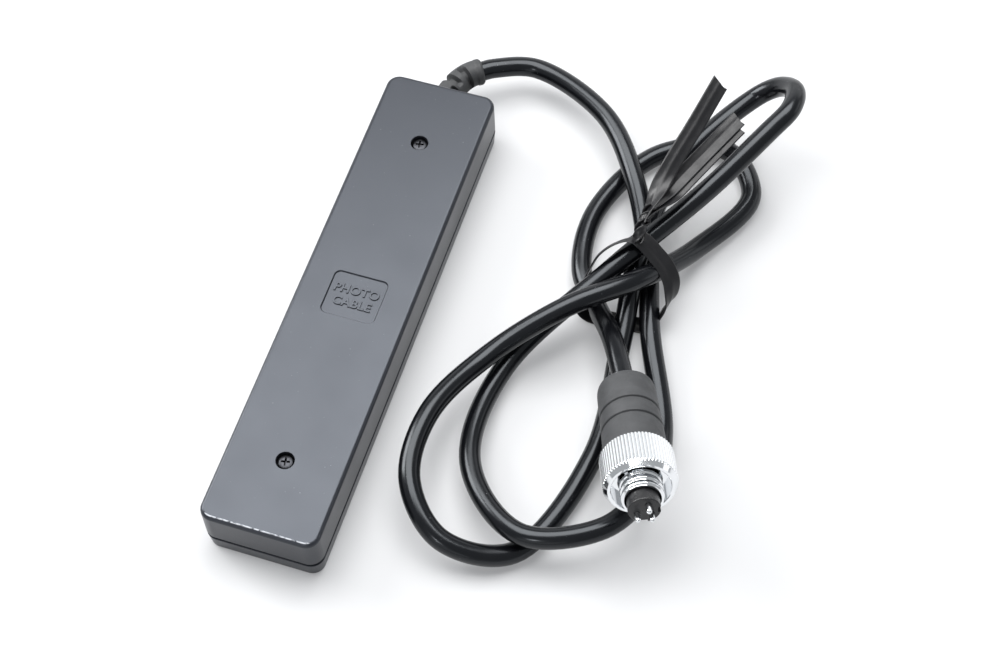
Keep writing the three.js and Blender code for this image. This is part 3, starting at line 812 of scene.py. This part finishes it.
def softbox(name, at, aim, width, height, radiance):
    """A rectangular light of a set brightness, whatever its size."""
    data = bpy.data.lights.new(name, "AREA")
    data.shape = "RECTANGLE"
    data.size = width
    data.size_y = height
    data.energy = radiance * width * height * math.pi
    light = bpy.data.objects.new(name, data)
    light.location = at
    light.rotation_euler = (Vector(aim) - Vector(at)).to_track_quat("-Z", "Y").to_euler()
    light.visible_camera = False
    bpy.context.scene.collection.objects.link(light)


def make_studio():
    surface = Surface("studio_floor", FLOOR_COLOR, 0.9, specular=0.1)
    surface.shader.inputs["Emission Color"].default_value = FLOOR_GLOW_COLOR
    surface.shader.inputs["Emission Strength"].default_value = FLOOR_GLOW
    mesh = bpy.data.meshes.new("floor")
    corners = [(-1, -1), (1, -1), (1, 1), (-1, 1)]
    mesh.from_pydata([(FLOOR_HALF * x, FLOOR_HALF * y, 0) for x, y in corners], [], [(0, 1, 2, 3)])
    floor = bpy.data.objects.new("floor", mesh)
    floor.location.z = -FLOOR_DROP
    mesh.materials.append(surface.material)
    bpy.context.scene.collection.objects.link(floor)

    world = bpy.data.worlds.new("studio")
    world.use_nodes = True
    background = world.node_tree.nodes["Background"]
    background.inputs["Color"].default_value = SKY_COLOR
    background.inputs["Strength"].default_value = SKY_STRENGTH
    bpy.context.scene.world = world
    bpy.context.scene.view_settings.view_transform = "Standard"

    for light in LIGHTS:
        softbox(*light)


# ---------------------------------------------------------------- handset


def rear_offset(z):
    """How far the rear cover's drafted wall stands out at height z."""
    return REAR_DRAFT * (HEIGHT - z) / (HEIGHT - PARTING)


def rear_cover():
    low = PARTING + GAP / 2
    groove = rear_offset(low) - GROOVE_INSET
    profile = [(low, groove), (low + GROOVE_WIDTH, groove)]
    profile += [(low + 0.4, rear_offset(low) - 0.06), (low + 0.5, rear_offset(low))]
    profile += quarter_round(HEIGHT, 0, REAR_EDGE, 1)
    shell = slab(WIDTH, LENGTH, CORNER, profile)
    cut(shell, slab(WIDTH - 2 * WALL, LENGTH - 2 * WALL, INNER_CORNER, [(0, 0), (ROOF, 0)]))
    for y in SCREW_Y:
        join(shell, post(REAR_BOSS_R, PARTING + 0.6, ROOF + 0.2, 0, y))
        bottom = HEAD_TOP - HEAD_H - GAP
        sunk = [(0, bottom), (HEAD_MOUTH_R, bottom), (HEAD_MOUTH_R, HEIGHT - 0.06)]
        sunk += [(HEAD_MOUTH_R + 0.2, HEIGHT + 0.14), (0, HEIGHT + 0.14)]
        cut(shell, moved(turned(sunk, 48), Matrix.Translation((0, y, 0))))
        cut(shell, post(SHANK_R + GAP, 0, HEIGHT, 0, y))
    neck_r = RELIEF_NECK_R + GAP
    neck = turned([(neck_r, -NECK_REACH), (neck_r, NECK_REACH)], 32)
    moved(neck, Matrix.Translation((0, LENGTH / 2, CABLE_Z)) @ Matrix.Rotation(math.pi / 2, 4, "X"))
    cut(shell, neck, block(2 * neck_r, 2 * NECK_REACH, 0, CABLE_Z, 0, LENGTH / 2))
    pocket = [(PLATE_FLOOR, -0.12), (HEIGHT - 0.1, 0), (HEIGHT, 0.08), (HEIGHT + 0.5, 0.58)]
    cut(shell, slab(PLATE_W, PLATE_L, PLATE_CORNER, pocket, 0, PLATE_Y))
    place(shell, "rear_shell", "shell", "handset", "rear_cover")


def plate_lettering():
    """Two generic words, raised in the plate pocket."""
    for line, (word, y) in enumerate(WORDS):
        curve = bpy.data.curves.new(word.lower(), "FONT")
        curve.body = word
        curve.size = LETTER_SIZE
        curve.align_x = "CENTER"
        curve.offset = LETTER_WEIGHT
        curve.extrude = LETTER_HALF_HEIGHT
        curve.bevel_depth = LETTER_BEVEL
        curve.bevel_resolution = 1
        curve.space_character = 1.05
        text = bpy.data.objects.new(word.lower(), curve)
        bpy.context.scene.collection.objects.link(text)
        bpy.context.view_layer.update()
        mesh = bpy.data.meshes.new_from_object(
            text.evaluated_get(bpy.context.evaluated_depsgraph_get())
        )
        bpy.data.objects.remove(text)
        letters = bpy.data.objects.new(word.lower(), mesh)
        bpy.context.scene.collection.objects.link(letters)
        moved(letters, Matrix.Translation((0, PLATE_Y + y, PLATE_FLOOR + LETTER_HALF_HEIGHT / 2)))
        place(letters, f"plate_lettering_{line + 1}", "shell", "handset", angle=50)


def front_cover():
    high = PARTING - GAP / 2
    rim = REAR_DRAFT - FRONT_DRAFT * (1 - high / PARTING)
    face = REAR_DRAFT - FRONT_DRAFT
    profile = [(high, rim - 0.12), (high - 0.12, rim)]
    profile += quarter_round(0, face, FRONT_EDGE, -1)
    shell = slab(WIDTH, LENGTH, CORNER, profile)
    inside = [(FRONT_FLOOR, 0), (HEIGHT, 0)]
    cut(shell, slab(WIDTH - 2 * WALL, LENGTH - 2 * WALL, INNER_CORNER, inside))
    for y in SCREW_Y:
        join(shell, post(FRONT_BOSS_R, FRONT_FLOOR - 0.2, PARTING, 0, y))
        cut(shell, post(SHANK_R + GAP, FRONT_FLOOR, HEIGHT, 0, y))
    for x in (-CLAMP_X, CLAMP_X):
        join(shell, post(CLAMP_BOSS_R, FRONT_FLOOR - 0.2, CLAMP_BOSS_TOP, x, CLAMP_Y))
        cut(shell, post(CLAMP_HOLE_R, FRONT_FLOOR, HEIGHT, x, CLAMP_Y))
    well = [(-0.5, 0.6), (0.1, 0), (0.45, -0.05), (0.6, -0.25)]
    cut(shell, slab(WELL_W, WELL_L, WELL_CORNER, well, 0, WELL_Y))
    window = [(-1, 0), (FRONT_FLOOR + 1, 0)]
    length = LOCK_L + LOCK_TRAVEL + 2 * GAP
    cut(shell, slab(LOCK_W + 2 * GAP, length, 1.5, window, 0, LOCK_Y + LOCK_TRAVEL / 2))
    place(shell, "front_shell", "shell", "handset", "front_cover")


def cover_screws():
    for name, y in zip(("cover_screw_cord_end", "cover_screw_tail_end"), SCREW_Y):
        under = HEAD_TOP - HEAD_H
        tip = FRONT_FLOOR + GAP
        thread = []
        z = tip + 0.5
        while z < under - 1.2:
            root = SHANK_R - THREAD_DEPTH
            thread += [(root, z), (SHANK_R, z + THREAD_DEPTH), (root, z + 2 * THREAD_DEPTH)]
            z += THREAD_PITCH
        head = [(SHANK_R, under), (HEAD_R, under), (HEAD_R, HEAD_TOP - 0.2)]
        head = soft_profile([*head, (0.85, HEAD_TOP), (0, HEAD_TOP)], 0.28)
        profile = [(0, tip), (SHANK_R - 0.5, tip), *thread, (SHANK_R - 0.1, under - 0.9), *head]
        screw = turned(profile, 40)
        for turn in (0, math.pi / 2):
            arm = loft([
                flat_ring(*CROSS_FOOT, HEAD_TOP - CROSS_DEPTH),
                flat_ring(*CROSS_MOUTH, HEAD_TOP + 0.1),
            ])
            cut(screw, moved(arm, Matrix.Rotation(turn + CROSS_TURN, 4, "Z")))
        moved(screw, Matrix.Translation((0, y, 0)))
        place(screw, f"{name}_head_and_thread", "black_steel", "handset", name)


def lock_slider():
    high = LOCK_FLANGE_Z + 0.1
    plate = [(high, 0), *quarter_round(LOCK_FACE, 0, 0.3, -1)]
    slider = slab(LOCK_W, LOCK_L, LOCK_CORNER, plate, 0, LOCK_Y)
    flange = [(LOCK_FLANGE_Z, LOCK_FLANGE_OUT - 0.05), (LOCK_FLANGE_Z + 0.05, LOCK_FLANGE_OUT)]
    flange += [(LOCK_FLANGE_Z + LOCK_FLANGE_T, LOCK_FLANGE_OUT)]
    join(slider, slab(LOCK_W, LOCK_L, 0.4, flange, 0, LOCK_Y))
    mouth = [(LOCK_FACE - 0.5, 0.4), (LOCK_FACE, 0.2), (LOCK_FACE + 0.25, 0), (9, 0)]
    cut(slider, slab(BUTTON_W + 2 * GAP, BUTTON_L + 2 * GAP, 1.6, mouth, 0, BUTTON_Y))
    for y in GRIP_Y:
        groove = [(LOCK_FACE - 0.5, 0.35), (LOCK_FACE, 0.1), (LOCK_FACE + 0.35, -0.05)]
        cut(slider, slab(LOCK_W - 3, GRIP_W, 0.28, groove, 0, y))
    place(slider, "lock_slider_plate", "button_plastic", "lock_slider", "lock_slider")


def release_button():
    cap = [(BUTTON_FLANGE_Z + 0.1, 0), *quarter_round(BUTTON_FACE, 0, 0.45, -1)]
    button = slab(BUTTON_W, BUTTON_L, BUTTON_CORNER, cap, 0, BUTTON_Y)
    flange = [(BUTTON_FLANGE_Z, BUTTON_FLANGE_OUT - 0.05), (BUTTON_FLANGE_Z + 0.05, BUTTON_FLANGE_OUT)]
    flange += [(BUTTON_TOP, BUTTON_FLANGE_OUT)]
    join(button, slab(BUTTON_W, BUTTON_L, 0.3, flange, 0, BUTTON_Y))
    join(button, post(PLUNGER_R, BUTTON_TOP - 0.1, PEG_TOP, 0, PLUNGER_Y))
    join(button, post(SPRING_PEG_R, BUTTON_TOP - 0.1, PEG_TOP, 0, SPRING_Y))
    arc = [math.pi / 2 * i / 48 for i in range(49)]
    ball = turned([(DISH_R * math.cos(a), DISH_R * math.sin(a)) for a in arc], 96)
    flat = Matrix.Diagonal((0.8, 1.6, 1, 1))
    dish = Matrix.Translation((0, BUTTON_Y, BUTTON_FACE + DISH_DEPTH - DISH_R)) @ flat
    cut(button, moved(ball, dish))
    place(button, "release_button_cap", "button_plastic", "release_button", "release_button")


def return_spring():
    """A coil wound between the button and the rear cover."""
    z0 = BUTTON_TOP + GAP + SPRING_WIRE
    z1 = ROOF - GAP - SPRING_WIRE
    steps = SPRING_TURNS * 36
    path = []
    for i in range(steps + 1):
        angle = 2 * math.pi * SPRING_TURNS * i / steps
        z = z0 + (z1 - z0) * i / steps
        path.append(Vector((SPRING_R * math.cos(angle), SPRING_Y + SPRING_R * math.sin(angle), z)))
    across = [Vector((p.x, p.y - SPRING_Y, 0)).normalized() for p in path]
    spring = place(
        sweep(path, across, circle(SPRING_WIRE, 10)),
        "return_spring_coil",
        "zinc_steel",
        "lock_slider",
        "return_spring",
    )
    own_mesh(spring)


def circle(radius, sides):
    angles = [2 * math.pi * i / sides for i in range(sides)]
    return [(radius * math.cos(a), radius * math.sin(a)) for a in angles]


def inner_parts():
    """The mechanism keeps its CAD shapes, with soft edges and real finishes."""
    replaced = set()
    for piece in bpy.context.scene.objects:
        replaced.update(piece.get("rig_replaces", []))
    slots = {part["node"]: part["material_slot"] for part in frame["record"]["subparts"]}
    for name, node in frame["nodes"].items():
        node.data.materials.clear()
        node.data.materials.append(materials[slots[name]])
        if name in replaced:
            continue
        bevel = node.modifiers.new("soft edges", "BEVEL")
        bevel.width = 0.05 * MM
        bevel.segments = 2
        bevel.limit_method = "ANGLE"
        bevel.angle_limit = math.radians(50)


# ---------------------------------------------------------------- cord and strain relief


def cord():
    path = smooth_path(CORD_ROUTE, 14)
    curve = bpy.data.curves.new("cord", "CURVE")
    curve.dimensions = "3D"
    curve.bevel_depth = CORD_D / 2 * MM
    curve.bevel_resolution = 8
    curve.use_fill_caps = True
    spline = curve.splines.new("POLY")
    spline.points.add(len(path) - 1)
    for point, at in zip(spline.points, path):
        point.co = (at.x * MM, at.y * MM, max(at.z, CORD_LOWEST) * MM, 1)
    spline.use_smooth = True
    curve.materials.append(materials["cord_vinyl"])
    piece = bpy.data.objects.new("free_cord", curve)
    bpy.context.scene.collection.objects.link(piece)
    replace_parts(piece, "cord")
    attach(piece, "handset")
    return piece


def relief_radius(s, length):
    """Radius of the plain tapered sleeve at a distance along it."""
    share = (s - RELIEF_OUT) / (length - RELIEF_OUT)
    return RELIEF_ROOT_R + (RELIEF_TIP_R - RELIEF_ROOT_R) * share


def strain_relief():
    path = evenly(smooth_path(RELIEF_ROUTE, 12), RELIEF_RINGS)
    length = sum((b - a).length for a, b in zip(path, path[1:]))
    rings = []
    for i, (at, along) in enumerate(zip(path, tangents(path))):
        s = length * i / (len(path) - 1)
        up = Vector((0, 0, 1))
        side = along.cross(up).normalized()
        ring = []
        for k in range(RELIEF_SIDES):
            degrees = 360 * k / RELIEF_SIDES
            radius = relief_surface(s, degrees, length)
            angle = math.radians(degrees)
            ring.append(at + side * radius * math.cos(angle) + up * radius * math.sin(angle))
        rings.append(ring)
    solid = loft(rings)
    sleeve = place(solid, "strain_relief_sleeve", "grey_rubber", "handset", "strain_relief", angle=60)
    sleeve.data.materials[0] = grey_rubber("relief_rubber", RELIEF_SHADE)
    return sleeve


def relief_surface(s, degrees, length):
    """Radius of the sleeve with its flange, neck, slots and rounded tip."""
    if s < RELIEF_FLANGE:
        return RELIEF_NECK_R + RELIEF_FLANGE_OUT
    if s < RELIEF_OUT:
        return RELIEF_NECK_R
    radius = relief_radius(s, length)
    out = s - RELIEF_OUT
    for place_s, facing in SLOTS:
        across = abs(out - place_s) / (SLOT_WIDTH / 2)
        turn = abs((degrees - facing + 180) % 360 - 180)
        if across < SLOT_REACH:
            wall = min(1, max(0, (SLOT_REACH - across) / 0.5))
            end = min(1, max(0, (SLOT_SPAN - turn) / SLOT_END))
            radius -= SLOT_DEPTH * wall * end
    collar = min(1, max(0, (s - length + RELIEF_COLLAR_L) / 0.3))
    tip = min(1, (length - s) / 0.5)
    return radius + RELIEF_COLLAR * collar - RELIEF_TIP_ROUND * (1 - tip) ** 2


# ---------------------------------------------------------------- wire tie


def tie_section(width, thickness=0.14, bead=0.24):
    """A flat strip with the wire's bead along its middle, as (across, out) pairs."""
    half_steps = 12
    bead_reach = 0.45
    rim_reach = 0.15
    top = []
    for i in range(2 * half_steps + 1):
        u = width / 2 * (1 - i / half_steps)
        swell = (bead - thickness) * math.exp(-((u / bead_reach) ** 2))
        rim = math.sqrt(max(0, 1 - max(0, (abs(u) - width / 2 + rim_reach) / rim_reach) ** 2))
        top.append((u, (thickness + swell) * max(rim, 0.15)))
    return top + [(u, -v) for u, v in reversed(top)]


def square_to(along, side):
    """The part of side that is square to along, at unit length."""
    return (side - along * side.dot(along)).normalized()


def tie_band():
    steps = 8
    line = smooth_loop([(x, z, 0) for (x, z), _ in TIE_LOOP], steps)
    turns = [Vector(across) for _, across in TIE_LOOP]
    sides = [a.lerp(b, k / steps) for a, b in zip(turns, turns[1:] + turns[:1]) for k in range(steps)]
    path = [Vector((p.x, TIE_Y + TIE_LEAN * p.y + TIE_SKEW * (p.x - TIE_X), p.y)) for p in line]
    across = [square_to(along, side) for along, side in zip(tangents(path, True), sides)]
    band = sweep(path, across, tie_section(TIE_W), True)
    return place(band, "tie_band_strip", "tie_vinyl", "handset", "tie_band", angle=60)


def strip(points, roll, last_roll, flat_from, slant, shift=(0, 0), trim=0.0):
    """A strip that leaves the knot at one roll and has turned to another by a share of its length."""
    path = evenly(smooth_path(points, 16), TAIL_STEPS)
    path = path[: len(path) - round(trim * len(path))]
    aligned = tangents(path)
    across = []
    for i, along in enumerate(aligned):
        share = min(1, i / (len(path) - 1) / flat_from)
        angle = math.radians(roll + (last_roll - roll) * share * share * (3 - 2 * share))
        level = along.cross(Vector((0, 0, 1))).normalized()
        across.append(level * math.cos(angle) + along.cross(level) * math.sin(angle))
    path = [
        at + side * shift[0] + along.cross(side) * shift[1]
        for at, along, side in zip(path, aligned, across)
    ]
    solid = sweep(path, across, tie_section(TIE_W))
    for vertex in solid.data.vertices[-len(tie_section(TIE_W)):]:
        off = (vertex.co - path[-1]).dot(across[-1])
        vertex.co -= aligned[-1] * off / TIE_W * slant
    return solid


def tie_ends():
    single = strip(TIE_SINGLE, roll=-70, last_roll=24, flat_from=0.4, slant=1.4)
    place(single, "tie_tail_single_strip", "tie_vinyl", "handset", "tie_tail_single", angle=60)
    lie = {"roll": -80, "last_roll": 0, "flat_from": 0.34, "slant": 1.2}
    upper = strip(TIE_DOUBLE, shift=(-0.45, -0.25), **lie)
    lower = strip(TIE_DOUBLE, shift=(0.6, 0.2), trim=0.04, **lie)
    double = join(upper, lower)
    place(double, "tie_tail_double_strips", "tie_vinyl", "handset", "tie_tail_double", angle=60)
    return [single, double]


def tie_knot():
    """The twist that holds the band: the strip's two ends wound round each other."""
    path = evenly(smooth_path(KNOT_ROUTE, 12), KNOT_STEPS)
    strands = []
    for phase in (0, math.pi):
        line = []
        across = []
        for i, along in enumerate(tangents(path)):
            share = i / (len(path) - 1)
            angle = phase + 2 * math.pi * KNOT_TURNS * share
            level = along.cross(Vector((0, 0, 1))).normalized()
            out = level * math.cos(angle) + along.cross(level) * math.sin(angle)
            line.append(path[i] + out * (0.5 + 0.25 * share))
            across.append(along.cross(out))
        section = tie_section(KNOT_STRAND_W, thickness=0.22, bead=0.36)
        strands.append(sweep(line, across, section))
    knot = join(*strands)
    return place(knot, "tie_knot_twist", "tie_vinyl", "handset", "tie_knot", angle=60)


# ---------------------------------------------------------------- plug


def plug_matrix():
    """From the plug's own axis, along Z, to where the plug lies."""
    side = Vector((0, 0, 1)).cross(PLUG_AIM).normalized()
    up = PLUG_AIM.cross(side)
    turn = Matrix((side, up, PLUG_AIM)).transposed().to_4x4()
    return Matrix.Translation(PLUG_AT) @ turn


def boot_radius(s):
    """Radius of the tapered boot at a distance from its back."""
    return BOOT_BACK_R + (BOOT_FRONT_R - BOOT_BACK_R) * s / COLLAR_START


def plug_boot():
    profile = [(0, 0), (BOOT_MOUTH_R, 0), (BOOT_BACK_R - 0.25, 0.05), (boot_radius(1.2), 1.2)]
    for s in BOOT_GROOVES:
        floor = boot_radius(s) - BOOT_GROOVE_DEPTH
        profile += [(boot_radius(s - 0.3), s - 0.3), (floor, s - 0.22)]
        profile += [(floor, s + 0.22), (boot_radius(s + 0.3), s + 0.3)]
    profile += [
        (BOOT_FRONT_R, COLLAR_START),
        (BOOT_FRONT_R, BOOT_END),
        (BARREL_TAIL_R + GAP, BOOT_END),
        (BARREL_TAIL_R + GAP, BARREL_START - GAP),
        (0, BARREL_START - GAP),
    ]
    boot = turned(soft_profile(profile, 0.55, 4), 96)
    return place(moved(boot, plug_matrix()), "plug_boot_moulding", "grey_rubber", "handset", "plug_boot")


def plug_barrel():
    root = BARREL_R - RING_DEPTH
    profile = [
        (0, BARREL_START),
        (BARREL_TAIL_R, BARREL_START),
        (BARREL_TAIL_R, BARREL_FLANGE[0]),
        (BARREL_FLANGE_R, BARREL_FLANGE[0]),
        (BARREL_FLANGE_R, BARREL_FLANGE[1]),
        (root, BARREL_FLANGE[1]),
    ]
    for s in BARREL_RINGS:
        profile += [(root, s), (BARREL_R, s + 0.2), (BARREL_R, s + 0.6), (root, s + 0.8)]
    profile += [
        (root, BARREL_END - 0.2),
        (BARREL_R - 0.1, BARREL_END),
        (INSULATOR_R + GAP, BARREL_END),
        (INSULATOR_R + GAP, INSULATOR_START - GAP),
        (0, INSULATOR_START - GAP),
    ]
    barrel = turned(soft_profile(profile, 0.12, 3), 96)
    key = block(*NOSE_KEY_SIZE, *NOSE_KEY, 0, NOSE_KEY_R)
    join(barrel, moved(key, Matrix.Rotation(math.radians(NOSE_KEY_ANGLE), 4, "Z")))
    return place(moved(barrel, plug_matrix()), "plug_barrel_chrome", "chrome", "handset", "plug_barrel")


def knurl_radius(radius, s, angle):
    """Rounded ribs along the collar, cut off by its front bevel."""
    if radius < COLLAR_LIP_R + 0.05 or s < COLLAR_START - 0.01:
        return radius
    rib = abs(math.sin(angle * COLLAR_TEETH / 2)) ** 0.7
    ribbed = COLLAR_R - COLLAR_TOOTH * (1 - rib)
    return min(radius, ribbed)


def plug_collar():
    steps = 10
    bevel_start = COLLAR_KNURL_END - COLLAR_EDGE
    profile = [(COLLAR_BACK_R, COLLAR_START), (COLLAR_R - COLLAR_EDGE, COLLAR_START)]
    profile += [(COLLAR_R, COLLAR_START + COLLAR_EDGE), (COLLAR_R, bevel_start)]
    for i in range(1, steps + 1):
        share = i / steps
        s = bevel_start + (COLLAR_END - bevel_start) * share
        profile.append((COLLAR_R + (COLLAR_LIP_R - COLLAR_R) * share, s))
    profile += [
        (COLLAR_LIP_R - 0.1, COLLAR_END),
        (COLLAR_RECESS_R + 0.1, COLLAR_END),
        (COLLAR_RECESS_R, COLLAR_END - 0.1),
        (COLLAR_RECESS_R, COLLAR_WEB[1]),
        (BARREL_R + 0.15, COLLAR_WEB[1]),
        (BARREL_R + 0.15, COLLAR_WEB[0]),
        (COLLAR_BACK_R, COLLAR_WEB[0]),
    ]
    collar = turned(profile, COLLAR_TEETH * 8, closed=True, radius_at=knurl_radius)
    return place(moved(collar, plug_matrix()), "plug_collar_knurled", "chrome", "plug_collar", "plug_collar")


def pin_spots():
    spots = []
    for degrees in PIN_ANGLES:
        angle = math.radians(degrees)
        spots.append((PIN_CIRCLE * math.cos(angle), PIN_CIRCLE * math.sin(angle)))
    return spots


def plug_insulator():
    profile = [(0, INSULATOR_START), (INSULATOR_R, INSULATOR_START)]
    profile += [(INSULATOR_R, INSULATOR_END), (0, INSULATOR_END)]
    core = turned(soft_profile(profile, 0.25), 64)
    for x, y in pin_spots():
        cut(core, post(PIN_R + 0.06, PIN_START - GAP, INSULATOR_END + 1, x, y, 24))
    floor = INSULATOR_END - KEY_L
    cut(core, block(KEY, KEY, floor, INSULATOR_END + 1, 0, -INSULATOR_R))
    cut(core, block(KEY, KEY, floor, INSULATOR_END + 1, INSULATOR_R, 0))
    moved(core, plug_matrix())
    return place(core, "plug_insulator_core", "insulator_plastic", "handset", "plug_insulator")


def plug_pins():
    names = ("plug_pin_common", "plug_pin_half_press", "plug_pin_full_press")
    pins = []
    for name, (x, y) in zip(names, pin_spots()):
        tip = PIN_END - PIN_R
        profile = [(0, PIN_START), (PIN_R, PIN_START), (PIN_R, tip)]
        for i in range(1, 9):
            angle = math.pi / 2 * i / 8
            profile.append((PIN_R * math.cos(angle), tip + PIN_R * math.sin(angle)))
        pin = moved(turned(profile, 24), plug_matrix() @ Matrix.Translation((x, y, 0)))
        pins.append(place(pin, f"{name}_turned", "chrome", "handset", name))
    return pins


# ---------------------------------------------------------------- the scene

bpy.ops.object.select_all(action="SELECT")
bpy.ops.object.delete()
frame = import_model()
materials = make_materials()
make_camera()
free_cord = cord()
on_the_cord = [
    strain_relief(),
    tie_band(),
    tie_knot(),
    *tie_ends(),
    plug_boot(),
    plug_barrel(),
    plug_collar(),
    plug_insulator(),
    *plug_pins(),
]
rear_cover()
plate_lettering()
front_cover()
cover_screws()
lock_slider()
release_button()
return_spring()
inner_parts()
make_studio()
